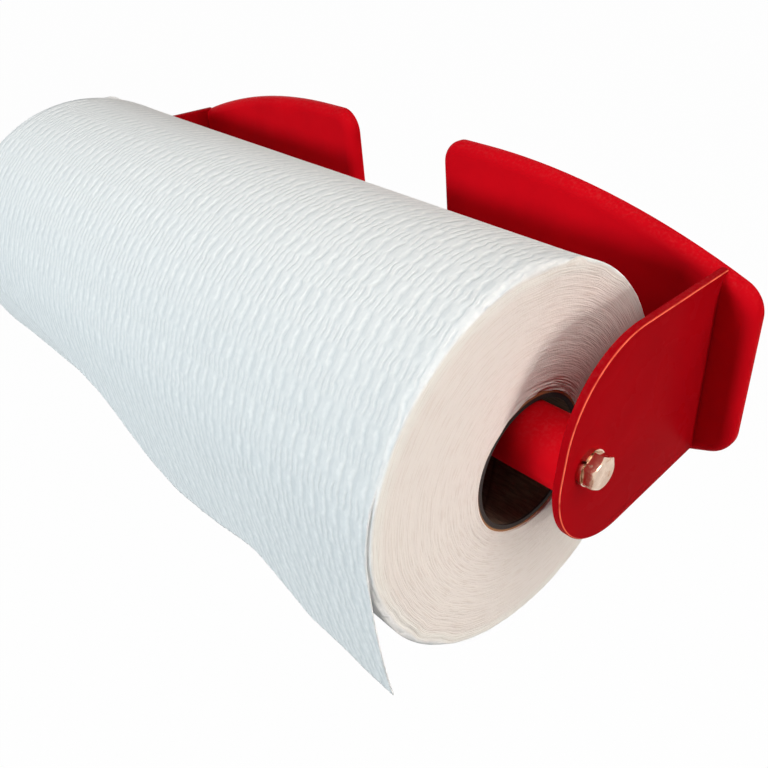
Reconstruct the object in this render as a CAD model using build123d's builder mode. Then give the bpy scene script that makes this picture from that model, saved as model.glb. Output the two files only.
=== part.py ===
from build123d import *
import os
from math import cos, radians, sin, sqrt, tan

# Paper towel holder: two magnetic steel brackets with a spindle tube bolted between their arms.
# Millimetres. The wall is the plane Y = 0 and the front is -Y. The origin is on the wall, midway
# between the brackets and at mid height. The right bracket is modelled and the left mirrors it.

# Wall plate, a shallow pressed tray that opens towards the wall
inner_edge = 28.0            # distance of its inner edge from the middle of the holder
outer_edge = 164.5
level_edge = 47.5            # top and bottom run level as far as this, then sweep in as an arc
half_height = 52.8
outer_half_height = 29.6     # where the arc meets the outer edge
inner_corner = 9.0
outer_corner = 11.0
plate_front = 6.5            # distance of its front face from the wall
rim_gap = 0.5                # its rim stops this far short of the wall
rim_round = 4.5
sheet_metal = 1.6

# Arm, cut from thicker plate and welded on the front of the wall plate
arm_outer_face = 151.5       # distance from the middle of the holder
arm_thickness = 3.0
arm_top = 35.4               # height of its top edge at the wall plate
arm_bottom = 31.3            # and how far below mid height its bottom edge meets the plate
nose_reach = 82.0            # the big round of its nose, level with mid height
nose_radius = 34.8
chin_reach = 83.5            # the tighter round below it, under the spindle
chin_radius = 28.6
chin_drop = 6.9
edge_chamfer = 0.5
tab_centre = 17.0
tab_length = 12.0
bolt_hole_radius = 3.3

# Spindle tube and the plugs in its ends
spindle_reach = 70.8         # distance of its axis from the wall
spindle_drop = 1.6           # and below mid height
spindle_radius = 11.1
spindle_wall = 1.65
plug_length = 16.0
plug_inset = 1.0
plug_chamfer = 0.8

# M6 hex bolts, each with a split spring washer that its head has pressed flat
bolt_radius = 3.0
bolt_length = 20.0
head_across_flats = 10.0
head_height = 4.0
head_turned_radius = 4.75    # radius of the bearing face and of the flat top
head_turned_slope = 30.0     # degrees
head_turn = 30.0             # degrees that it stands turned from a corner at the front
bearing_face = 0.4
point_chamfer = 0.6
washer_radius = 5.9
washer_bore_radius = 3.1
washer_thickness = 1.6
washer_split = 0.8
split_slant = 24.0           # degrees
split_place = 136.0          # degrees round the bolt from the wall side, over the top

# Magnets on the floor of the tray, and the pad over them that lies on the wall
magnet_width = 25.0
magnet_height = 50.0
magnet_thickness = 4.0
magnet_chamfer = 1.0
magnet_places = {"inner": 48.0, "middle": 88.0, "outer": 128.0}
pad_play = 0.3

# Roll of paper towels, which hangs on the spindle and has slid to the left
roll_length = 279.4
roll_radius = 63.6
core_radius = 23.8
core_wall = 2.2
core_recess = 1.0            # the core stops this far inside each end of the roll
roll_left_play = 0.4         # gap between the roll and the left arm
hang_gap = 0.3               # air between the core and the top of the spindle

# The last sheet, which comes off the front of the roll and hangs down to a slanting torn edge.
# The points of the edge are (place along X, height above the axis of the roll).
sheet_thickness = 0.6
sheet_gap = 0.35
sheet_inset = 1.3
sheet_wrap = 35.0            # degrees of the roll that it still covers above the front
sheet_drop = 8.6             # degrees of a wide arc, as the paper still curls back a little
sheet_curl_radius = 400.0
torn_edge = [(-150, 2), (-90, -4), (-64, -10), (-32, -17), (-6, -34), (16, -40), (36, -39),
             (64, -34), (90, -48), (108, -50), (134, -53)]

arm_inner_face = arm_outer_face - arm_thickness
tray_floor = plate_front - sheet_metal
bore_radius = core_radius - core_wall
roll_left = -arm_inner_face + roll_left_play
roll_right = roll_left + roll_length
roll_height = -spindle_drop - (bore_radius - spindle_radius - hang_gap)
head_base = arm_outer_face + washer_thickness


def save(piece, name):
    piece.label = name
    export_step(piece, f"parts/{name}.step")


# Plane parallel to the wall that looks to the front
def wall_plane(distance):
    return Plane(origin=(0, -distance, 0), x_dir=(1, 0, 0), z_dir=(0, -1, 0))


# Plane square to the spindle, centred on its axis, that looks to the right
def spindle_plane(distance):
    return Plane(origin=(distance, -spindle_reach, -spindle_drop), x_dir=(0, 1, 0), z_dir=(1, 0, 0))


# The same, centred on the axis of the roll
def roll_plane(distance):
    return Plane(origin=(distance, -spindle_reach, roll_height), x_dir=(0, 1, 0), z_dir=(1, 0, 0))


# Outline of the wall plate, drawn smaller by inset for what lies inside its rim
def plate_outline(distance, inset=0.0):
    with BuildSketch(wall_plane(distance)) as outline:
        with BuildLine():
            level = Line((inner_edge, half_height), (level_edge, half_height))
            TangentArc(level @ 1, (outer_edge, outer_half_height), tangent=level % 1)
            mirror(about=Plane.XZ)
            Line((inner_edge, -half_height), (inner_edge, half_height))
            Line((outer_edge, -outer_half_height), (outer_edge, outer_half_height))
        make_face()
        fillet(outline.vertices().group_by(Axis.X)[0], inner_corner)
        fillet(outline.vertices().group_by(Axis.X)[-1], outer_corner)
        if inset:
            offset(amount=-inset, mode=Mode.REPLACE)
    return outline.sketch


# Outer form of the wall plate, with its front edge rounded
def plate_blank():
    with BuildPart() as blank:
        extrude(plate_outline(rim_gap), amount=plate_front - rim_gap)
        fillet(blank.faces().sort_by(Axis.Y)[0].edges(), rim_round)
    return blank.part


# Hollow of the wall plate. A flat facet at its floor follows the inside of the bend.
def plate_hollow():
    bend_facet = (rim_round - sheet_metal) * (2 - sqrt(2))
    with BuildPart() as hollow:
        extrude(plate_outline(rim_gap, inset=sheet_metal), amount=tray_floor - rim_gap)
        chamfer(hollow.faces().sort_by(Axis.Y)[0].edges(), bend_facet)
    return hollow.part


# The two rectangles where the arm's tabs pass through the wall plate
def tab_sketch(distance):
    with BuildSketch(wall_plane(distance)) as tabs:
        with Locations((arm_outer_face - arm_thickness / 2, tab_centre),
                       (arm_outer_face - arm_thickness / 2, -tab_centre)):
            Rectangle(arm_thickness, tab_length)
    return tabs.sketch


def make_wall_plate():
    with BuildPart() as wall_plate:
        add(plate_blank())
        add(plate_hollow(), mode=Mode.SUBTRACT)
        extrude(tab_sketch(rim_gap), amount=plate_front, mode=Mode.SUBTRACT)
    return wall_plate.part


# Nose of two rounds, straight edges that run in to the wall plate, and a back edge that is
# saddled over the plate's rounded rim, with two tabs through the plate
def make_arm():
    with BuildPart() as arm:
        with BuildSketch(Plane.YZ.offset(arm_inner_face)):
            with Locations((nose_radius - nose_reach, 0)):
                Circle(nose_radius)
            with Locations((chin_radius - chin_reach, -chin_drop)):
                Circle(chin_radius)
            with Locations((-plate_front / 2, (arm_top - arm_bottom) / 2)):
                Rectangle(1, arm_top + arm_bottom)
            make_hull()
        extrude(amount=arm_thickness)
        chamfer(arm.faces().filter_by(Axis.X).edges(), edge_chamfer)
        add(plate_blank(), mode=Mode.SUBTRACT)
        extrude(tab_sketch(tray_floor), amount=sheet_metal)
        with BuildSketch(spindle_plane(arm_inner_face)):
            Circle(bolt_hole_radius)
        extrude(amount=arm_thickness, mode=Mode.SUBTRACT)
    return arm.part


def make_magnet(place):
    with BuildPart() as magnet:
        with BuildSketch(wall_plane(tray_floor - magnet_thickness)):
            with Locations((place, 0)):
                Rectangle(magnet_width, magnet_height)
        extrude(amount=magnet_thickness)
        chamfer(magnet.edges().filter_by(Axis.Y), magnet_chamfer)
    return magnet.part


def make_back_pad():
    with BuildPart() as back_pad:
        pad_thickness = tray_floor - magnet_thickness
        extrude(plate_outline(0, inset=sheet_metal + pad_play), amount=pad_thickness)
    return back_pad.part


# Turned plug, pressed into the end of the tube and tapped for the bolt
def make_spindle_plug():
    with BuildPart() as plug:
        with BuildSketch(spindle_plane(arm_inner_face - plug_inset - plug_length)):
            Circle(spindle_radius - spindle_wall)
            Circle(bolt_radius, mode=Mode.SUBTRACT)
        extrude(amount=plug_length)
        inner_end = plug.faces().sort_by(Axis.X)[0]
        chamfer(inner_end.outer_wire().edges(), plug_chamfer)
    return plug.part


# Ring with one slanting cut through it
def make_lock_washer():
    split_direction = (0, cos(radians(split_place)), sin(radians(split_place)))
    across_split = (0, -sin(radians(split_place)), cos(radians(split_place)))
    middle = (arm_outer_face + washer_thickness / 2, -spindle_reach, -spindle_drop)
    with BuildPart() as washer:
        with BuildSketch(spindle_plane(arm_outer_face)):
            Circle(washer_radius)
            Circle(washer_bore_radius, mode=Mode.SUBTRACT)
        extrude(amount=washer_thickness)
        with BuildSketch(Plane(origin=middle, x_dir=across_split, z_dir=split_direction)):
            Rectangle(washer_split, 2 * washer_thickness, rotation=split_slant)
        extrude(amount=washer_radius + 1, mode=Mode.SUBTRACT)
    return washer.part


# Hex head with its corners turned off and a bearing face under it, and a shank for the plug
def make_bolt():
    head_top = head_height - bearing_face
    turned_depth = 1.5
    turned_out = head_turned_radius + turned_depth / tan(radians(head_turned_slope))
    with BuildPart() as bolt:
        with BuildSketch(spindle_plane(head_base + bearing_face)):
            RegularPolygon(head_across_flats / 2, 6, major_radius=False, rotation=head_turn)
        extrude(amount=head_top)
        with BuildSketch(Plane(origin=(head_base + bearing_face, -spindle_reach, -spindle_drop),
                               x_dir=(1, 0, 0), z_dir=(0, 0, 1))):
            with BuildLine():
                Polyline((0, 0), (head_top, 0), (head_top, head_turned_radius),
                         (head_top - turned_depth, turned_out), (0, turned_out), close=True)
            make_face()
        revolve(axis=Axis((0, -spindle_reach, -spindle_drop), (1, 0, 0)), mode=Mode.INTERSECT)
        with BuildSketch(spindle_plane(head_base)):
            Circle(head_turned_radius)
        extrude(amount=bearing_face)
        with BuildSketch(spindle_plane(head_base - bolt_length)):
            Circle(bolt_radius)
        extrude(amount=bolt_length)
        point = bolt.faces().sort_by(Axis.X)[0]
        chamfer(point.edges(), point_chamfer)
    return bolt.part


os.makedirs("parts", exist_ok=True)

bracket = {
    "wall_plate": make_wall_plate(),
    "arm": make_arm(),
    "back_pad": make_back_pad(),
    "spindle_plug": make_spindle_plug(),
    "lock_washer": make_lock_washer(),
    "bolt": make_bolt(),
}
for place_name, place in magnet_places.items():
    bracket[f"magnet_{place_name}"] = make_magnet(place)

for name, piece in bracket.items():
    save(mirror(piece, about=Plane.YZ), f"left_{name}")
    save(piece, f"right_{name}")

# Tube between the arms, drawn tight against them by the bolts
with BuildPart() as spindle_tube:
    with BuildSketch(spindle_plane(-arm_inner_face)):
        Circle(spindle_radius)
        Circle(spindle_radius - spindle_wall, mode=Mode.SUBTRACT)
    extrude(amount=2 * arm_inner_face)
save(spindle_tube.part, "spindle_tube")

# Cardboard core, which hangs on the top of the spindle
with BuildPart() as cardboard_core:
    with BuildSketch(roll_plane(roll_left + core_recess)):
        Circle(core_radius)
        Circle(bore_radius, mode=Mode.SUBTRACT)
    extrude(amount=roll_length - 2 * core_recess)
save(cardboard_core.part, "cardboard_core")

# The wound towels
with BuildPart() as paper_roll:
    with BuildSketch(roll_plane(roll_left)):
        Circle(roll_radius)
        Circle(core_radius, mode=Mode.SUBTRACT)
    extrude(amount=roll_length)
save(paper_roll.part, "paper_roll")

# The last sheet lies over the front of the roll and hangs down from it
with BuildPart() as loose_sheet:
    sheet_radius = roll_radius + sheet_gap + sheet_thickness / 2
    with BuildSketch(roll_plane(roll_left + sheet_inset)):
        with BuildLine():
            CenterArc((0, 0), sheet_radius, 180 - sheet_wrap, sheet_wrap)
            CenterArc((sheet_curl_radius - sheet_radius, 0), sheet_curl_radius, 180, sheet_drop)
        trace(line_width=sheet_thickness)
    extrude(amount=roll_length - 2 * sheet_inset)
    with BuildSketch(wall_plane(spindle_reach)):
        with BuildLine():
            below = roll_height - 2 * roll_radius
            torn = Spline([(x, roll_height + height) for x, height in torn_edge])
            Polyline(torn @ 0, (torn_edge[0][0], below), (torn_edge[-1][0], below), torn @ 1)
        make_face()
    extrude(amount=2 * roll_radius, mode=Mode.SUBTRACT)
save(loose_sheet.part, "loose_sheet")
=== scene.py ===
import bpy
import math
import numpy as np
from mathutils import Euler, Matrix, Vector, noise


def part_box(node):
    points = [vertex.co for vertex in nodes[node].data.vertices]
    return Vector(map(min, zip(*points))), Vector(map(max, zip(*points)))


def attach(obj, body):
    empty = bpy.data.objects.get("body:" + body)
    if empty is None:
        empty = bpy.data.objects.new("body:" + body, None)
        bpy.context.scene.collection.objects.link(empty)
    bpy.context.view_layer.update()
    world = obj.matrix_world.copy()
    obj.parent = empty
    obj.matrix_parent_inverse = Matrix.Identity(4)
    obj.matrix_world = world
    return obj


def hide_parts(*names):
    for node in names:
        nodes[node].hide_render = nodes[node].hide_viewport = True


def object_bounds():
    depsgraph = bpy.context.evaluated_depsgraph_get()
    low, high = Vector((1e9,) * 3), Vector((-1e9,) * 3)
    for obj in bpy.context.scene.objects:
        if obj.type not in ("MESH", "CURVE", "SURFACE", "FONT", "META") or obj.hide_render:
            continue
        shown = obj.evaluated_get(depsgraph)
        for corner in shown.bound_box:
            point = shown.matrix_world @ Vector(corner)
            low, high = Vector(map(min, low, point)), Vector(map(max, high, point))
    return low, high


# Paper towel holder: magnetic steel brackets in gloss red with a bolted spindle, a roll of embossed
# towels and its last sheet hanging. Everything is in metres, +X along the spindle, -Y to the front.

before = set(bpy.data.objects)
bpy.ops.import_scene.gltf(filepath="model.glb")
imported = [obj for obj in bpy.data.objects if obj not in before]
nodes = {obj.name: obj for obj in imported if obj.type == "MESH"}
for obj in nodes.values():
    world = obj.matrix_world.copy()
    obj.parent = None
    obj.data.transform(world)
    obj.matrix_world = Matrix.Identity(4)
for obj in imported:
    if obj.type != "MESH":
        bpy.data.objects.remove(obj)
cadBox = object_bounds()

rollLow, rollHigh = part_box("paper_roll")
coreLow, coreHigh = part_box("cardboard_core")
sheetLow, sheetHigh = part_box("loose_sheet")
rollMiddle = (rollLow + rollHigh) / 2
rollRadius = (rollHigh.z - rollLow.z) / 2
rollHalfLength = (rollHigh.x - rollLow.x) / 2
coreRadius = (coreHigh.z - coreLow.z) / 2
coreHalfLength = (coreHigh.x - coreLow.x) / 2


# Shader building in short words

def newMaterial(name):
    material = bpy.data.materials.new(name)
    material.use_nodes = True
    tree = material.node_tree
    shader = tree.nodes["Principled BSDF"]
    return material, tree, shader


def addNode(tree, kind, inputs=None, **settings):
    node = tree.nodes.new(kind)
    for key, value in settings.items():
        setattr(node, key, value)
    for key, value in (inputs or {}).items():
        setInput(tree, node.inputs[key], value)
    return node


# A socket is linked and anything else is written in
def setInput(tree, socket, value):
    if isinstance(value, bpy.types.NodeSocket):
        tree.links.new(value, socket)
    else:
        socket.default_value = value


def maths(tree, operation, first, second=0.0):
    node = addNode(tree, "ShaderNodeMath", operation=operation)
    setInput(tree, node.inputs[0], first)
    setInput(tree, node.inputs[1], second)
    return node.outputs[0]


def ramp(tree, value, fromLow, fromHigh, toLow=0.0, toHigh=1.0, smooth=True):
    kind = "SMOOTHSTEP" if smooth else "LINEAR"
    node = addNode(tree, "ShaderNodeMapRange", interpolation_type=kind)
    for name, number in (("Value", value), ("From Min", fromLow), ("From Max", fromHigh),
                         ("To Min", toLow), ("To Max", toHigh)):
        setInput(tree, node.inputs[name], number)
    return node.outputs["Result"]


def mixColour(tree, factor, first, second, blend="MIX"):
    node = addNode(tree, "ShaderNodeMix", data_type="RGBA", blend_type=blend)
    setInput(tree, node.inputs["Factor"], factor)
    setInput(tree, node.inputs[6], first)
    setInput(tree, node.inputs[7], second)
    return node.outputs[2]


def bump(tree, shader, height, strength, distance):
    node = addNode(tree, "ShaderNodeBump", {"Height": height, "Strength": strength,
                                            "Distance": distance})
    tree.links.new(node.outputs["Normal"], shader.inputs["Normal"])


def objectPlace(tree):
    return addNode(tree, "ShaderNodeTexCoord").outputs["Object"]


def splitAxes(tree, vector):
    return addNode(tree, "ShaderNodeSeparateXYZ", {"Vector": vector}).outputs


def absolute(tree, value):
    return maths(tree, "ABSOLUTE", value)


# How far a place lies from the line along X through the middle
def distanceFromLine(tree, place, middle):
    axes = splitAxes(tree, place)
    y = maths(tree, "SUBTRACT", axes[1], middle.y)
    z = maths(tree, "SUBTRACT", axes[2], middle.z)
    squares = maths(tree, "ADD", maths(tree, "MULTIPLY", y, y), maths(tree, "MULTIPLY", z, z))
    return maths(tree, "SQRT", squares)


# A sine wave along one axis with the given pitch
def wave(tree, value, pitch):
    return maths(tree, "SINE", maths(tree, "MULTIPLY", value, 2 * math.pi / pitch))


def newGroup(name, inputs, outputs):
    group = bpy.data.node_groups.new(name, "ShaderNodeTree")
    for label, kind, value in inputs:
        socket = group.interface.new_socket(label, in_out="INPUT", socket_type=kind)
        if value is not None:
            socket.default_value = value
    for label, kind in outputs:
        group.interface.new_socket(label, in_out="OUTPUT", socket_type=kind)
    return group, group.nodes.new("NodeGroupInput"), group.nodes.new("NodeGroupOutput")


def useGroup(tree, group, inputs):
    node = tree.nodes.new("ShaderNodeGroup")
    node.node_tree = group
    for key, value in inputs.items():
        setInput(tree, node.inputs[key], value)
    return node


# Uneven patches or fine grain from noise, spread between two levels
def makeGrainGroup():
    group, start, end = newGroup(
        "surfaceGrain",
        [("Vector", "NodeSocketVector", None), ("Scale", "NodeSocketFloat", 400.0),
         ("Detail", "NodeSocketFloat", 4.0), ("Low", "NodeSocketFloat", 0.35),
         ("High", "NodeSocketFloat", 0.65)],
        [("Mask", "NodeSocketFloat")])
    cloud = addNode(group, "ShaderNodeTexNoise", {"Vector": start.outputs["Vector"],
                                                  "Scale": start.outputs["Scale"],
                                                  "Detail": start.outputs["Detail"]})
    spread = ramp(group, cloud.outputs[0], start.outputs["Low"], start.outputs["High"])
    group.links.new(spread, end.inputs["Mask"])
    return group


# Fine dust that settles on whatever faces up
dustSettings = {
    "facing": (0.2, 0.95),       # how far a face looks up with the first dust and with all of it
    "speckScale": 900.0,
    "speckDetail": 5.0,
    "speckLevels": (0.42, 0.75),
}


def makeDustGroup(s):
    group, start, end = newGroup(
        "settledDust",
        [("Normal", "NodeSocketVector", None), ("Vector", "NodeSocketVector", None),
         ("Amount", "NodeSocketFloat", 0.2)],
        [("Mask", "NodeSocketFloat")])
    upward = ramp(group, splitAxes(group, start.outputs["Normal"])[2], *s["facing"])
    specks = addNode(group, "ShaderNodeTexNoise", {"Vector": start.outputs["Vector"],
                                                   "Scale": s["speckScale"],
                                                   "Detail": s["speckDetail"]})
    broken = ramp(group, specks.outputs[0], *s["speckLevels"])
    lying = maths(group, "MULTIPLY", upward, broken)
    amount = maths(group, "MULTIPLY", lying, start.outputs["Amount"])
    group.links.new(amount, end.inputs["Mask"])
    return group


grainGroup = makeGrainGroup()
dustGroup = makeDustGroup(dustSettings)


# Settings that hold a grain give its scale, detail, low and high level in that order
def grain(tree, scale, detail=4.0, low=0.35, high=0.65, vector=None):
    if vector is None:
        vector = objectPlace(tree)
    settings = {"Vector": vector, "Scale": scale, "Detail": detail, "Low": low, "High": high}
    return useGroup(tree, grainGroup, settings).outputs["Mask"]


def dust(tree, amount):
    place = addNode(tree, "ShaderNodeTexCoord")
    settings = {"Normal": place.outputs["Normal"], "Vector": place.outputs["Object"],
                "Amount": amount}
    return useGroup(tree, dustGroup, settings).outputs["Mask"]


def paint(names, material):
    for name in names:
        piece = nodes[name]
        piece.data.materials.clear()
        piece.data.materials.append(material)


# Gloss red powder coat. On the arms a painted highlight runs as a lighter line along the crests of
# the chamfered outer edges, and their colour is painted shade, written darker than the plates',
# which balances the lamps that light the roll's end.

redCoatSettings = {
    "colour": (0.66, 0.0035, 0.010, 1),
    "deepColour": (0.58, 0.003, 0.009, 1),
    "patches": (28.0, 3.0, 0.3, 0.7),
    # painted shade: the arms' whole colour is multiplied darker than the plates'
    "armPaintedShade": (0.60, 0.60, 0.60, 1),
    # painted highlight along the chamfer's crest
    "paintedHighlightColour": (0.95, 0.16, 0.09, 1),
    "chamferFacing": (0.45, 0.62, 0.82, 0.95),     # how far sideways a chamfer looks
    "crestWidth": 0.0004,
    "crestBreaks": (160.0, 3.0, 0.1, 0.55),
    "dustColour": (0.55, 0.40, 0.38, 1),
    "dustAmount": 0.03,
    "gloss": 0.003,
    "glossTint": (1.0, 0.42, 0.34, 1),
    "roughness": (0.23, 0.31),
    "smears": (60.0, 5.0, 0.2, 0.8),
    "peelScale": 420.0,
    "peelDepth": 0.000012,
}


# 1 on the crest of the chamfer that runs round an arm's outer face, where the painted highlight
# lies
def paintedHighlightCrest(tree, s):
    rising, full, falling, gone = s["chamferFacing"]
    normal = addNode(tree, "ShaderNodeTexCoord").outputs["Normal"]
    sideways = absolute(tree, splitAxes(tree, normal)[0])
    chamfer = maths(tree, "MULTIPLY", ramp(tree, sideways, rising, full),
                    ramp(tree, sideways, falling, gone, 1.0, 0.0))
    fromMiddle = absolute(tree, splitAxes(tree, objectPlace(tree))[0])
    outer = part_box("right_arm")[1].x
    crest = ramp(tree, fromMiddle, outer - s["crestWidth"], outer - s["crestWidth"] * 0.4)
    chamfer = maths(tree, "MULTIPLY", chamfer, crest)
    return maths(tree, "MULTIPLY", chamfer, grain(tree, *s["crestBreaks"]))


def makeRedCoat(s, name, forArms):
    material, tree, shader = newMaterial(name)
    colour = mixColour(tree, grain(tree, *s["patches"]), s["colour"], s["deepColour"])
    if forArms:
        # painted shade over the arms' whole colour
        colour = mixColour(tree, 1.0, colour, s["armPaintedShade"], "MULTIPLY")
        # painted highlight along the crest of the chamfered outer edges
        colour = mixColour(tree, paintedHighlightCrest(tree, s), colour, s["paintedHighlightColour"])
    colour = mixColour(tree, dust(tree, s["dustAmount"]), colour, s["dustColour"])
    tree.links.new(colour, shader.inputs["Base Color"])
    rough = ramp(tree, grain(tree, *s["smears"]), 0.0, 1.0, *s["roughness"])
    tree.links.new(rough, shader.inputs["Roughness"])
    shader.inputs["Specular IOR Level"].default_value = s["gloss"]
    shader.inputs["Specular Tint"].default_value = s["glossTint"]
    peel = addNode(tree, "ShaderNodeTexNoise", {"Vector": objectPlace(tree),
                                                "Scale": s["peelScale"], "Detail": 1.0})
    bump(tree, shader, peel.outputs[0], 1.0, s["peelDepth"])
    return material


redCoat = makeRedCoat(redCoatSettings, "redPowderCoat", False)
armCoat = makeRedCoat(redCoatSettings, "redPowderCoatPaintedShadeAndHighlight", True)
paint(["left_wall_plate", "right_wall_plate", "spindle_tube"], redCoat)
paint(["left_arm", "right_arm"], armCoat)


# Bright zinc on the bolts and lock washers, with the lathe's rings and a worn, stained head

zincSettings = {
    "colour": (0.83, 0.64, 0.50, 1),
    "dullColour": (0.62, 0.44, 0.33, 1),
    "clouds": (180.0, 3.0, 0.3, 0.7),
    "stainColour": (0.42, 0.22, 0.12, 1),
    "stains": (330.0, 5.0, 0.54, 0.70),
    "stainShare": 0.5,
    "roughness": (0.20, 0.45),   # clean, and under a stain
    "ringPitch": 0.00045,
    "ringShare": 0.25,
    "pits": (500.0, 2.0, 0.2, 0.8),
    "depth": 0.00003,
}


def makeZinc(s):
    material, tree, shader = newMaterial("brightZinc")
    colour = mixColour(tree, grain(tree, *s["clouds"]), s["colour"], s["dullColour"])
    stains = grain(tree, *s["stains"])
    colour = mixColour(tree, maths(tree, "MULTIPLY", stains, s["stainShare"]), colour,
                       s["stainColour"])
    tree.links.new(colour, shader.inputs["Base Color"])
    shader.inputs["Metallic"].default_value = 1.0
    rough = ramp(tree, stains, 0.0, 1.0, *s["roughness"])
    tree.links.new(rough, shader.inputs["Roughness"])
    boltLow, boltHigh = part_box("right_bolt")
    reach = distanceFromLine(tree, objectPlace(tree), (boltLow + boltHigh) / 2)
    rings = maths(tree, "MULTIPLY", wave(tree, reach, s["ringPitch"]), s["ringShare"])
    bump(tree, shader, maths(tree, "ADD", rings, grain(tree, *s["pits"])), 0.6, s["depth"])
    return material


steelSettings = {
    "colour": (0.46, 0.45, 0.44, 1),
    "darkColour": (0.33, 0.32, 0.31, 1),
    "clouds": (120.0,),
    "roughness": (0.35, 0.45),
    "smears": (300.0,),
    "turnPitch": 0.0004,
    "turnDepth": 0.00003,
}


def makeTurnedSteel(s):
    material, tree, shader = newMaterial("turnedSteel")
    colour = mixColour(tree, grain(tree, *s["clouds"]), s["colour"], s["darkColour"])
    tree.links.new(colour, shader.inputs["Base Color"])
    shader.inputs["Metallic"].default_value = 1.0
    rough = ramp(tree, grain(tree, *s["smears"]), 0.0, 1.0, *s["roughness"])
    tree.links.new(rough, shader.inputs["Roughness"])
    along = splitAxes(tree, objectPlace(tree))[0]
    bump(tree, shader, wave(tree, along, s["turnPitch"]), 0.5, s["turnDepth"])
    return material


ferriteSettings = {
    "colour": (0.045, 0.045, 0.05, 1),
    "chalkColour": (0.09, 0.09, 0.095, 1),
    "chalk": (220.0, 6.0),
    "roughness": 0.75,
    "pores": (900.0, 5.0),
    "poreDepth": 0.0001,
}


def makeFerrite(s):
    material, tree, shader = newMaterial("sinteredFerrite")
    colour = mixColour(tree, grain(tree, *s["chalk"]), s["colour"], s["chalkColour"])
    tree.links.new(colour, shader.inputs["Base Color"])
    shader.inputs["Roughness"].default_value = s["roughness"]
    bump(tree, shader, grain(tree, *s["pores"]), 0.4, s["poreDepth"])
    return material


rubberSettings = {
    "colour": (0.022, 0.022, 0.024, 1),
    "dustColour": (0.06, 0.058, 0.055, 1),
    "dust": (25.0, 6.0, 0.4, 0.8),
    "roughness": 0.7,
    "ribPitch": 0.0022,
    "ribDepth": 0.00012,
    "ribGrain": (1500.0, 2.0),
}


def makeRubber(s):
    material, tree, shader = newMaterial("blackRubberSheet")
    colour = mixColour(tree, grain(tree, *s["dust"]), s["colour"], s["dustColour"])
    tree.links.new(colour, shader.inputs["Base Color"])
    shader.inputs["Roughness"].default_value = s["roughness"]
    ribs = wave(tree, splitAxes(tree, objectPlace(tree))[2], s["ribPitch"])
    bump(tree, shader, maths(tree, "ADD", ribs, grain(tree, *s["ribGrain"])), 0.6, s["ribDepth"])
    return material


paint(["left_bolt", "right_bolt", "left_lock_washer", "right_lock_washer"], makeZinc(zincSettings))
paint(["left_spindle_plug", "right_spindle_plug"], makeTurnedSteel(steelSettings))
paint([f"{side}_magnet_{place}" for side in ("left", "right")
       for place in ("inner", "middle", "outer")], makeFerrite(ferriteSettings))
paint(["left_back_pad", "right_back_pad"], makeRubber(rubberSettings))
print("red coat, zinc, steel, magnets and pads painted")


# Grey-brown board of the core, with the seam of its spiral winding. Its cut ends carry painted
# shade, near black, with a ring of the board's lighter cut colour at the outside.

coreSettings = {
    "colour": (0.20, 0.135, 0.085, 1),
    "darkColour": (0.12, 0.08, 0.05, 1),
    "fibreStretch": (1.0, 6.0, 6.0),
    "fibres": (180.0, 6.0),
    "seamColour": (0.05, 0.032, 0.02, 1),
    "seamPitch": 0.09,
    "seamWidth": 0.02,           # as a share of the pitch
    "seamShare": 0.6,
    "cutColour": (0.42, 0.20, 0.08, 1),
    # painted shade of the dark bore, on the cut ends
    "cutPaintedShadeColour": (0.02, 0.012, 0.010, 1),
    "cutLightWidth": 0.0006,
    "cutDepth": (0.0010, 0.0002),
    "roughness": 0.85,
    "fibreRelief": (400.0, 4.0),
    "fibreDepth": 0.0002,
}


def makeCoreBoard(s):
    material, tree, shader = newMaterial("coreBoard")
    place = objectPlace(tree)
    fibres = addNode(tree, "ShaderNodeMapping", {"Vector": place,
                                                 "Scale": s["fibreStretch"]}).outputs[0]
    colour = mixColour(tree, grain(tree, *s["fibres"], vector=fibres), s["colour"],
                       s["darkColour"])
    axes = splitAxes(tree, place)
    angle = maths(tree, "ARCTAN2", maths(tree, "SUBTRACT", axes[2], rollMiddle.z),
                  maths(tree, "SUBTRACT", axes[1], rollMiddle.y))
    turns = maths(tree, "ADD", maths(tree, "DIVIDE", axes[0], s["seamPitch"]),
                  maths(tree, "DIVIDE", angle, 2 * math.pi))
    seam = ramp(tree, maths(tree, "FRACT", turns), 0.0, s["seamWidth"], s["seamShare"], 0.0)
    colour = mixColour(tree, seam, colour, s["seamColour"])
    fromMiddle = absolute(tree, maths(tree, "SUBTRACT", axes[0], rollMiddle.x))
    cutStart, cutFull = s["cutDepth"]
    cutEnd = ramp(tree, fromMiddle, coreHalfLength - cutStart, coreHalfLength - cutFull)
    # the cut ends are painted shade, near black, except a ring at the outside in the cut colour
    ringStart = coreRadius - s["cutLightWidth"]
    unshadedRing = ramp(tree, distanceFromLine(tree, place, rollMiddle), ringStart - 0.0004,
                 ringStart + 0.0002)
    cut = mixColour(tree, unshadedRing, s["cutPaintedShadeColour"], s["cutColour"])
    colour = mixColour(tree, cutEnd, colour, cut)
    tree.links.new(colour, shader.inputs["Base Color"])
    shader.inputs["Roughness"].default_value = s["roughness"]
    bump(tree, shader, grain(tree, *s["fibreRelief"], vector=fibres), 0.5, s["fibreDepth"])
    return material


paint(["cardboard_core"], makeCoreBoard(coreSettings))


# Embossed towels. The first UV coordinate runs along the roll from its middle, over its edge and
# in across the end, and the second runs round it, both in metres.

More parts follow.
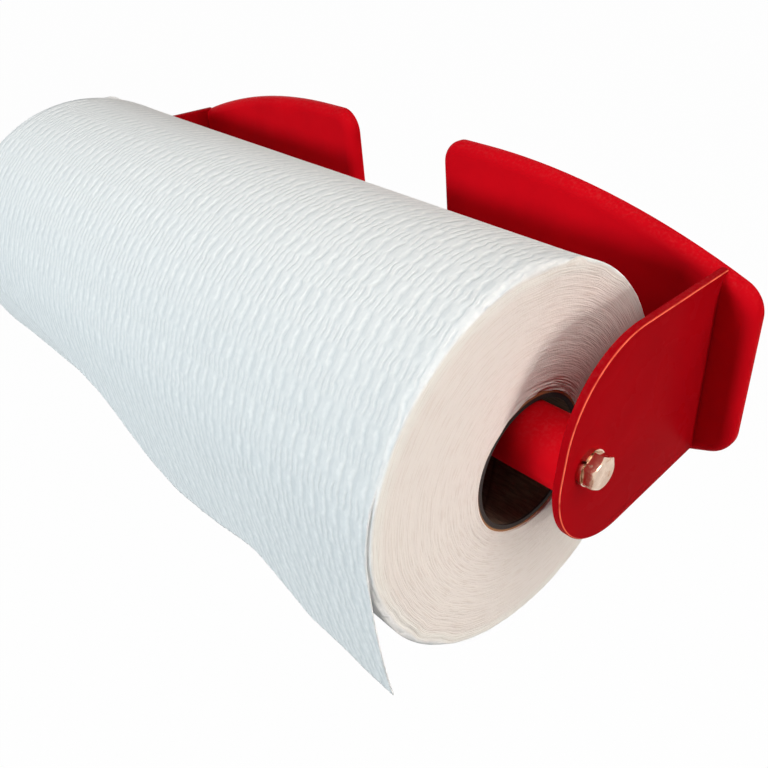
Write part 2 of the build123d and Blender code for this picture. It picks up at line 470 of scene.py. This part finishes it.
towelSettings = {
    "colour": (0.87, 0.88, 0.885, 1),
    "shadeColour": (0.85, 0.862, 0.87, 1),
    "patches": (22.0, 3.0, 0.3, 0.7),
    # painted light on the crests of the pressed strokes, and painted shade in their hollows and in
    # the grooves behind them; the hollow colour also tints the fibre grain
    "crestPaintedLightColour": (0.945, 0.95, 0.95, 1),
    "hollowPaintedShadeAndFibreColour": (0.755, 0.775, 0.79, 1),
    "crestLevels": (0.05, 0.85),
    "hollowLevels": (0.1, -0.5),
    "fibres": (650.0, 3.0),
    "fibreShare": 0.35,
    "pressPitch": 0.0050,        # between the long pressed strokes, along the roll
    "pressBands": 32,            # bands round the roll: long strokes, then twice as many short
    "pressSlant": 9,             # pitches that a line of strokes moves along in one turn
    "pressDepth": 0.00022,
    # rows of strokes: how many to a pitch, where across the bands a row begins and is full, where
    # its ridges begin, and their height
    "pressRows": [(1, -0.4, 0.7, 0.0, 1.0), (2, 0.4, -0.7, -0.3, 0.8)],
    "grooveTurn": 1.6,           # how far behind its ridge a groove lies, in radians of the pitch
    "grooveStart": -0.2,
    "grooveDepth": 0.6,
    "wobbleScale": 190.0,
    "wobble": 0.0030,
    "strength": (90.0, 3.0, 0.2, 0.8),
    "strengthRange": (0.6, 0.5),     # the weakest, and what the strongest adds to it
    "fluff": (1500.0, 3.0),
    "fluffHeight": 0.10,
    # painted warm light: the end face is written warmer than the paper, paler in a band at its rim
    # and pinkish further in
    "rimPaintedLightColour": (0.92, 0.90, 0.855, 1),
    "endPaintedWarmLightColour": (0.90, 0.845, 0.80, 1),
    "rimWidth": (0.0012, 0.0048),
    "layerPitch": 0.00042,
    "layerBreak": 0.011,         # length of the short lines that the layers show on the end
    "layerHeight": 1.5,
    # painted shade in the gaps between the wound layers on the end
    "gapPaintedShadeColour": (0.70, 0.60, 0.53, 1),
    "gapLevels": (0.50, 0.34),
    "gapShare": 0.30,
    "roughness": 0.95,
    "gloss": 0.15,
}


# Height of the pressed strokes over the paper
def pressedStrokes(tree, s, place):
    wobble = addNode(tree, "ShaderNodeTexNoise", {"Vector": place, "Scale": s["wobbleScale"],
                                                  "Detail": 2.0})
    shift = addNode(tree, "ShaderNodeVectorMath",
                    {0: wobble.outputs["Color"], 1: (0.5, 0.5, 0.5)}, operation="SUBTRACT")
    shift = addNode(tree, "ShaderNodeVectorMath", {0: shift.outputs[0], "Scale": s["wobble"]},
                    operation="SCALE")
    bent = addNode(tree, "ShaderNodeVectorMath", {0: place, 1: shift.outputs[0]},
                   operation="ADD")
    axes = splitAxes(tree, bent.outputs[0])
    slant = s["pressSlant"] * s["pressPitch"] / (2 * math.pi * rollRadius)
    slanted = maths(tree, "SUBTRACT", axes[0], maths(tree, "MULTIPLY", axes[1], slant))
    along = maths(tree, "MULTIPLY", slanted, 2 * math.pi / s["pressPitch"])
    band = maths(tree, "COSINE", maths(tree, "MULTIPLY", axes[1], s["pressBands"] / rollRadius))
    press = 0.0
    for step, start, full, ridgeStart, amount in s["pressRows"]:
        turn = maths(tree, "SUBTRACT", maths(tree, "MULTIPLY", along, step), float(step - 1))
        ridge = ramp(tree, maths(tree, "COSINE", turn), ridgeStart, 1.0)
        behind = maths(tree, "COSINE", maths(tree, "SUBTRACT", turn, s["grooveTurn"]))
        groove = ramp(tree, behind, s["grooveStart"], 1.0, 0.0, s["grooveDepth"])
        stroke = maths(tree, "MULTIPLY", maths(tree, "SUBTRACT", ridge, groove),
                       ramp(tree, band, start, full))
        press = maths(tree, "ADD", maths(tree, "MULTIPLY", stroke, amount), press)
    weakest, added = s["strengthRange"]
    strength = maths(tree, "MULTIPLY", grain(tree, *s["strength"], vector=place), added)
    return maths(tree, "MULTIPLY", press, maths(tree, "ADD", strength, weakest))


def makeTowelPaper(s):
    material, tree, shader = newMaterial("embossedTowel")
    place = addNode(tree, "ShaderNodeUVMap", uv_map="windings").outputs["UV"]
    axes = splitAxes(tree, place)
    fromMiddle = absolute(tree, axes[0])
    onEnd = ramp(tree, fromMiddle, rollHalfLength - 0.0008, rollHalfLength + 0.0006)
    rimStart, rimFull = s["rimWidth"]
    pastRim = ramp(tree, fromMiddle, rollHalfLength + rimStart, rollHalfLength + rimFull)
    layers = addNode(tree, "ShaderNodeCombineXYZ", {
        "X": maths(tree, "DIVIDE", fromMiddle, s["layerPitch"]),
        "Y": maths(tree, "DIVIDE", axes[1], s["layerBreak"])})
    layerLines = addNode(tree, "ShaderNodeTexNoise", {"Vector": layers.outputs[0], "Scale": 1.0,
                                                      "Detail": 2.0, "Roughness": 0.55})
    press = maths(tree, "MULTIPLY", pressedStrokes(tree, s, place),
                  maths(tree, "SUBTRACT", 1.0, onEnd))
    lines = maths(tree, "MULTIPLY", maths(tree, "MULTIPLY", layerLines.outputs[0], onEnd),
                  s["layerHeight"])
    fluff = maths(tree, "MULTIPLY", grain(tree, *s["fluff"]), s["fluffHeight"])
    height = maths(tree, "ADD", maths(tree, "ADD", press, lines), fluff)

    colour = mixColour(tree, grain(tree, *s["patches"]), s["colour"], s["shadeColour"])
    # painted light on the stroke crests and painted shade in their hollows and grooves
    colour = mixColour(tree, ramp(tree, press, *s["crestLevels"]), colour, s["crestPaintedLightColour"])
    colour = mixColour(tree, ramp(tree, press, *s["hollowLevels"]), colour, s["hollowPaintedShadeAndFibreColour"])
    fibres = maths(tree, "MULTIPLY", grain(tree, *s["fibres"]), s["fibreShare"])
    colour = mixColour(tree, fibres, colour, s["hollowPaintedShadeAndFibreColour"])
    # painted warm light on the end face, paler at its rim
    end = mixColour(tree, pastRim, s["rimPaintedLightColour"], s["endPaintedWarmLightColour"])
    gaps = ramp(tree, layerLines.outputs[0], *s["gapLevels"], 0.0, s["gapShare"])
    # painted shade in the gaps between the layers
    end = mixColour(tree, gaps, end, s["gapPaintedShadeColour"])
    colour = mixColour(tree, onEnd, colour, end)
    tree.links.new(colour, shader.inputs["Base Color"])
    shader.inputs["Roughness"].default_value = s["roughness"]
    shader.inputs["Specular IOR Level"].default_value = s["gloss"]
    bump(tree, shader, height, 1.0, s["pressDepth"])
    return material


towelPaper = makeTowelPaper(towelSettings)


def meshPiece(name, points, faces, uvs, material):
    mesh = bpy.data.meshes.new(name)
    mesh.from_pydata([tuple(p) for p in points], [], faces)
    layer = mesh.uv_layers.new(name="windings")
    layer.data.foreach_set("uv", np.asarray(uvs, dtype=np.float32).ravel())
    mesh.polygons.foreach_set("use_smooth", [True] * len(mesh.polygons))
    mesh.materials.append(material)
    mesh.update()
    piece = bpy.data.objects.new(name, mesh)
    bpy.context.scene.collection.objects.link(piece)
    return piece


rollSettings = {
    "around": 360,
    "alongRows": 80,
    "lipRadius": 0.0016,
    "lipRows": 6,
    "looseDepth": 0.0050,        # the first wraps round the core that stand uneven
    "looseRows": 34,
    "endRows": 64,
    "looseFall": 0.0021,
    "looseMiddle": 75.0,         # degrees round the roll, from the wall side over the top
    "looseWidth": 62.0,
    "sink": 0.00028,             # how far the paper lies inside the full round, and how it varies
    "sinkBroad": 0.00020,
    "sinkSoft": 0.00008,
    "plainEdge": 0.012,          # where that fades out, next to the edge
    # places of the edge that are crushed back: degrees, half width in degrees, depth
    "crushed": [(203, 26, 0.0021), (226, 9, 0.0012), (88, 9, 0.0010), (54, 7, 0.0006),
                (316, 20, 0.0009)],
    "flare": (74, 6.0, 0.0020),  # and one where a corner of the paper stands out
    "fray": 0.00028,
    "endSink": 0.00034,          # the end's own unevenness: all of it, its layers, its broad waves
    "endLayers": 0.00016,
    "endWaves": 0.00022,
    "endRings": 0.00008,
    "seed": 4.7,
}


# 1 at the middle of a place on the edge, falling to 0 at its half width
def nearPlace(turn, degrees, halfWidth):
    away = abs((math.degrees(turn) - degrees + 180) % 360 - 180)
    return 0.5 + 0.5 * math.cos(math.pi * min(away / halfWidth, 1.0))


# Half of the winding's outline, from its middle over the lip and in across the end to the core:
# distance along the UV, how far from the middle, radius, and how much it belongs to the end
def rollProfile(s):
    lip = s["lipRadius"]
    straight = rollHalfLength - lip
    halfRows = s["alongRows"] // 2
    rows = []
    for i in range(halfRows + 1):
        out = straight * i / halfRows
        rows.append((out, out, rollRadius, 0.0))
    for i in range(1, s["lipRows"] + 1):
        turn = math.pi / 2 * i / s["lipRows"]
        rows.append((straight + lip * turn, straight + lip * math.sin(turn),
                     rollRadius - lip + lip * math.cos(turn), i / s["lipRows"]))
    start = rows[-1]
    depth = start[2] - coreRadius
    evenDepth = depth - s["looseDepth"]
    steps = [evenDepth * i / s["endRows"] for i in range(1, s["endRows"] + 1)]
    steps += [depth - s["looseDepth"] * (1 - i / s["looseRows"])
              for i in range(1, s["looseRows"] + 1)]
    rows += [(start[0] + inward, rollHalfLength, start[2] - inward, 1.0) for inward in steps]
    return rows


# How far the surface lies inside the plain winding there: radially, and along the roll
def rollUnevenness(s, out, radius, end, turn, ringShift):
    y, z, seed = math.cos(turn), math.sin(turn), s["seed"]
    broad = noise.noise(Vector((out * 9, y * 1.3 + seed, z * 1.3)))
    soft = noise.noise(Vector((out * 30, y * 4, z * 4 + seed)))
    inward = s["sink"] + s["sinkBroad"] * broad + s["sinkSoft"] * soft
    inward *= 1 - min(end * 2, 1)
    if end == 0:
        toLip = rollHalfLength - s["lipRadius"] - abs(out)
        return inward * min(1.0, toLip / s["plainEdge"]), 0.0
    outer = max(0.0, (radius - coreRadius) / (rollRadius - coreRadius))
    crush = sum(depth * nearPlace(turn, place, width) for place, width, depth in s["crushed"])
    fray = noise.noise(Vector((seed, y * 9, z * 9)))
    fray += 0.6 * noise.noise(Vector((seed, y * 31, z * 31)))
    crush = crush * (1 + 0.35 * fray) + s["fray"] * abs(fray)
    place, width, rise = s["flare"]
    onLip = end < 1
    edge = min(end * 1.2, 1.0) if onLip else outer ** 3
    inward += crush * edge
    if onLip:
        inward -= rise * nearPlace(turn, place, width) * edge
    layer = noise.noise(Vector((radius * 1100, y * 2.2, z * 2.2)))
    dish = noise.noise(Vector((radius * 45, y * 1.2 + 9, z * 1.2)))
    back = end * (s["endSink"] + s["endLayers"] * layer + s["endWaves"] * dish
                  + s["endRings"] * ringShift)
    back += 0.5 * crush * (edge if onLip else outer ** 8)
    # the first wraps stand loose at one side of the core
    loose = 0.0 if onLip else max(0.0, 1 - (radius - coreRadius) / s["looseDepth"])
    loose *= nearPlace(turn, s["looseMiddle"], s["looseWidth"])
    wrap = noise.noise(Vector((radius * 2300, y * 3.5 + 2, z * 3.5)))
    back += s["looseFall"] * loose * min(max(0.5 + 1.1 * wrap, 0.0), 1.0)
    return inward, back


def makeTowelRoll(s):
    half = rollProfile(s)
    outline = [(-along, -out, radius, end) for along, out, radius, end in reversed(half[1:])]
    outline += half
    count = s["around"]
    rows = len(outline)
    points, uvs, faces = [], [], []
    for number, (along, out, radius, end) in enumerate(outline):
        ringShift = noise.noise(Vector((number * 3.7, s["seed"], 0)))
        for j in range(count):
            turn = 2 * math.pi * j / count
            inward, back = rollUnevenness(s, out, radius, end, turn, ringShift)
            around = radius - inward
            x = out - math.copysign(back, out)
            points.append((rollMiddle.x + x, rollMiddle.y + around * math.cos(turn),
                           rollMiddle.z + around * math.sin(turn)))
    for i in range(rows - 1):
        here, there = i * count, (i + 1) * count
        left, right = outline[i][0], outline[i + 1][0]
        for j in range(count):
            after = (j + 1) % count
            faces.append((here + j, there + j, there + after, here + after))
            first = 2 * math.pi * rollRadius * j / count
            last = 2 * math.pi * rollRadius * (j + 1) / count
            uvs += [(left, first), (right, first), (right, last), (left, last)]
    # the bore, which lies on the core
    inner, rim = (rows - 1) * count, outline[-1][0]
    for j in range(count):
        after = (j + 1) % count
        faces.append((inner + j, j, after, inner + after))
        uvs += [(rim, 0), (rim, 0.01), (rim, 0.01), (rim, 0)]
    roll = meshPiece("towelRoll", points, faces, uvs, towelPaper)
    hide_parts("paper_roll")
    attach(roll, "towel_roll")


makeTowelRoll(rollSettings)
print("towel roll wound")


# The last sheet. It lies over the front of the roll, still curls back a little below it, and ends
# in a torn edge that slants up to the left. The edge is (place along X, height above the axis).

sheetSettings = {
    "columns": 420,
    "rows": 64,
    "wrap": math.radians(34),
    "curlRadius": 0.40,
    "tuck": 0.0013,              # how deep the sheet's start lies in the roll's surface
    "rise": 0.0020,              # and how far it comes out of it from there
    "riseShare": 0.7,            # over this share of the wrap
    "tear": [(-0.150, 0.002), (-0.090, -0.004), (-0.064, -0.010), (-0.034, -0.016),
             (-0.018, -0.026), (-0.006, -0.034), (0.013, -0.040), (0.036, -0.0395),
             (0.066, -0.0335), (0.078, -0.039), (0.092, -0.0485), (0.108, -0.050),
             (0.120, -0.0527), (0.134, -0.0535)],
    "tearReach": (-0.160, 0.145, 306),   # ends and number of the places where the edge is rounded
    "tearRound": 9,              # places that each rounding takes in
    "ragged": 0.0005,
    "waves": 0.0005,
    "stiffLength": 0.04,         # below the roll, before the waves are full
    "thickness": 0.00035,
}


def tearHeights(s, places):
    fine = np.linspace(*s["tearReach"])
    heights = np.interp(fine, [p[0] for p in s["tear"]], [p[1] for p in s["tear"]])
    window = s["tearRound"]
    padded = np.pad(heights, window // 2, mode="edge")
    smooth = np.convolve(padded, np.ones(window) / window, mode="valid")
    heights = np.interp(places, fine, smooth)
    torn = [noise.noise(Vector((x * 130, 2.5, 0))) + 0.8 * noise.noise(Vector((x * 520, 7, 0)))
            for x in places]
    return heights + s["ragged"] * np.array(torn)


# How far out from the roll's axis and how high above it the sheet is, this far down its length
def sheetPlace(s, x, down):
    wrapLength = s["wrap"] * rollRadius
    risen = min(1.0, down / (wrapLength * s["riseShare"]))
    radius = rollRadius - s["tuck"] + s["rise"] * math.sin(math.pi / 2 * risen)
    turn = s["wrap"] - down / rollRadius
    if turn > 0:
        return radius * math.cos(turn), radius * math.sin(turn)
    drop = down - wrapLength
    out = radius - s["curlRadius"] * (1 - math.cos(drop / s["curlRadius"]))
    free = min(drop / s["stiffLength"], 1.0)
    out += s["waves"] * free * (1 + noise.noise(Vector((x * 26, drop * 12, 3.3))))
    return out, -s["curlRadius"] * math.sin(drop / s["curlRadius"])


def makeHangingSheet(s):
    left, right = sheetLow.x, sheetHigh.x
    columns, rows = s["columns"], s["rows"]
    places = np.linspace(left, right, columns + 1)
    heights = tearHeights(s, places)
    wrapLength = s["wrap"] * rollRadius
    points, uvs, faces = [], [], []
    for x, tear in zip(places, heights):
        length = wrapLength - tear
        for j in range(rows + 1):
            down = length * j / rows
            out, height = sheetPlace(s, x, down)
            points.append((x, rollMiddle.y - out, rollMiddle.z + height))
            uvs.append((x - rollMiddle.x, rollRadius * (math.pi - s["wrap"]) + down))
    for i in range(columns):
        for j in range(rows):
            corner = i * (rows + 1) + j
            faces.append((corner, corner + 1, corner + rows + 2, corner + rows + 1))
    loops = [uvs[v] for face in faces for v in face]
    sheet = meshPiece("hangingSheet", points, faces, loops, towelPaper)
    solid = sheet.modifiers.new("thickness", "SOLIDIFY")
    solid.thickness = s["thickness"]
    solid.offset = -1.0
    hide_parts("loose_sheet")
    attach(sheet, "hanging_sheet")


makeHangingSheet(sheetSettings)
print("last sheet hung")


# Pale floor, soft lamps, a plain room and the camera. Rays from the camera, and those that gloss
# and glass send on, see the floor and the room at full white, which puts no light on the holder.

stageSettings = {
    "floorReach": 6.0,
    "floorDrop": 0.35,
    "floorColour": (0.80, 0.80, 0.80, 1),
    "floorRoughness": 0.9,
    "shadowShare": 0.015,        # how much of the floor's own shading shows in its white
    "roomColour": (0.90, 0.96, 1.0, 1),
    "roomStrength": 0.02,
}


def seenDirectly(tree):
    path = addNode(tree, "ShaderNodeLightPath")
    seen = maths(tree, "MAXIMUM", path.outputs["Is Camera Ray"], path.outputs["Is Glossy Ray"])
    return maths(tree, "MAXIMUM", seen, path.outputs["Is Transmission Ray"])


def makeFloor(s):
    reach = s["floorReach"]
    height = cadBox[0].z - s["floorDrop"]
    mesh = bpy.data.meshes.new("paleFloor")
    mesh.from_pydata([(-reach, -reach, height), (reach, -reach, height),
                      (reach, reach, height), (-reach, reach, height)], [], [(0, 1, 2, 3)])
    floor = bpy.data.objects.new("paleFloor", mesh)
    bpy.context.scene.collection.objects.link(floor)
    material, tree, shader = newMaterial("paleFloor")
    shader.inputs["Base Color"].default_value = s["floorColour"]
    shader.inputs["Roughness"].default_value = s["floorRoughness"]
    glow = addNode(tree, "ShaderNodeEmission", {"Color": (1, 1, 1, 1), "Strength": 1.0})
    blend = addNode(tree, "ShaderNodeMixShader")
    share = maths(tree, "MULTIPLY", seenDirectly(tree), 1 - s["shadowShare"])
    tree.links.new(share, blend.inputs[0])
    tree.links.new(shader.outputs[0], blend.inputs[1])
    tree.links.new(glow.outputs[0], blend.inputs[2])
    tree.links.new(blend.outputs[0], tree.nodes["Material Output"].inputs["Surface"])
    mesh.materials.append(material)


def makeRoom(s):
    world = bpy.data.worlds.new("softRoom")
    bpy.context.scene.world = world
    world.use_nodes = True
    tree = world.node_tree
    background = tree.nodes["Background"]
    seen = seenDirectly(tree)
    tree.links.new(mixColour(tree, seen, s["roomColour"], (1, 1, 1, 1)), background.inputs["Color"])
    strength = ramp(tree, seen, 0.0, 1.0, s["roomStrength"], 1.0, smooth=False)
    tree.links.new(strength, background.inputs["Strength"])


# name, kind, place, aimed at, size, watts, colour
lampSettings = [
    ("frontWindow", "AREA", (-0.10, -1.14, 0.37), (0.02, -0.07, 0.0), 0.24, 8.6,
     (0.87, 0.965, 1.0)),
    ("topSoftbox", "AREA", (-0.02, -0.10, 1.15), (0.0, -0.07, 0.0), 0.6, 3.6, (1.0, 0.98, 0.93)),
    ("rightSoftbox", "AREA", (0.75, 0.17, 0.70), (0.14, -0.1, 0.0), 0.9, 5.6,
     (1.0, 0.95, 0.90)),
    ("rimSpot", "SPOT", (1.10, 0.02, 0.02), (0.145, -0.135, -0.03), 0.30, 46.0,
     (1.0, 0.90, 0.82)),
    ("endSpot", "SPOT", (1.10, 0.05, 0.30), (0.14, -0.098, 0.045), 0.30, 60.0,
     (1.0, 0.94, 0.88)),
]
spotAngles = {"rimSpot": 11.0, "endSpot": 9.0}     # degrees across the spots' cones


def makeLamps(lamps):
    for name, kind, place, aim, size, watts, colour in lamps:
        light = bpy.data.lights.new(name, kind)
        if kind == "AREA":
            light.shape = "DISK"
            light.size = size
        else:
            light.shadow_soft_size = size / 2
            light.spot_size = math.radians(spotAngles[name])
            light.spot_blend = 1.0
        light.energy = watts
        light.color = colour
        lamp = bpy.data.objects.new(name, light)
        lamp.location = place
        lamp.rotation_euler = (Vector(aim) - Vector(place)).to_track_quat("-Z", "Y").to_euler()
        bpy.context.scene.collection.objects.link(lamp)


cameraSettings = {
    "place": (0.2480, -0.2141, 0.1374),
    "turn": (0.9620, 0.0101, 0.7516),
    "lens": 36.31,
    "shift": (-0.1336, 0.0317),
}


def makeCamera(s):
    data = bpy.data.cameras.new("camera")
    data.sensor_width = 36.0
    data.lens = s["lens"]
    data.shift_x, data.shift_y = s["shift"]
    data.clip_start = 0.01
    camera = bpy.data.objects.new("camera", data)
    camera.location = s["place"]
    camera.rotation_euler = Euler(s["turn"], "XYZ")
    bpy.context.scene.collection.objects.link(camera)
    bpy.context.scene.camera = camera


makeFloor(stageSettings)
makeRoom(stageSettings)
makeLamps(lampSettings)
makeCamera(cameraSettings)
bpy.context.scene.view_settings.view_transform = "Standard"
print("floor, room, lamps and camera set")
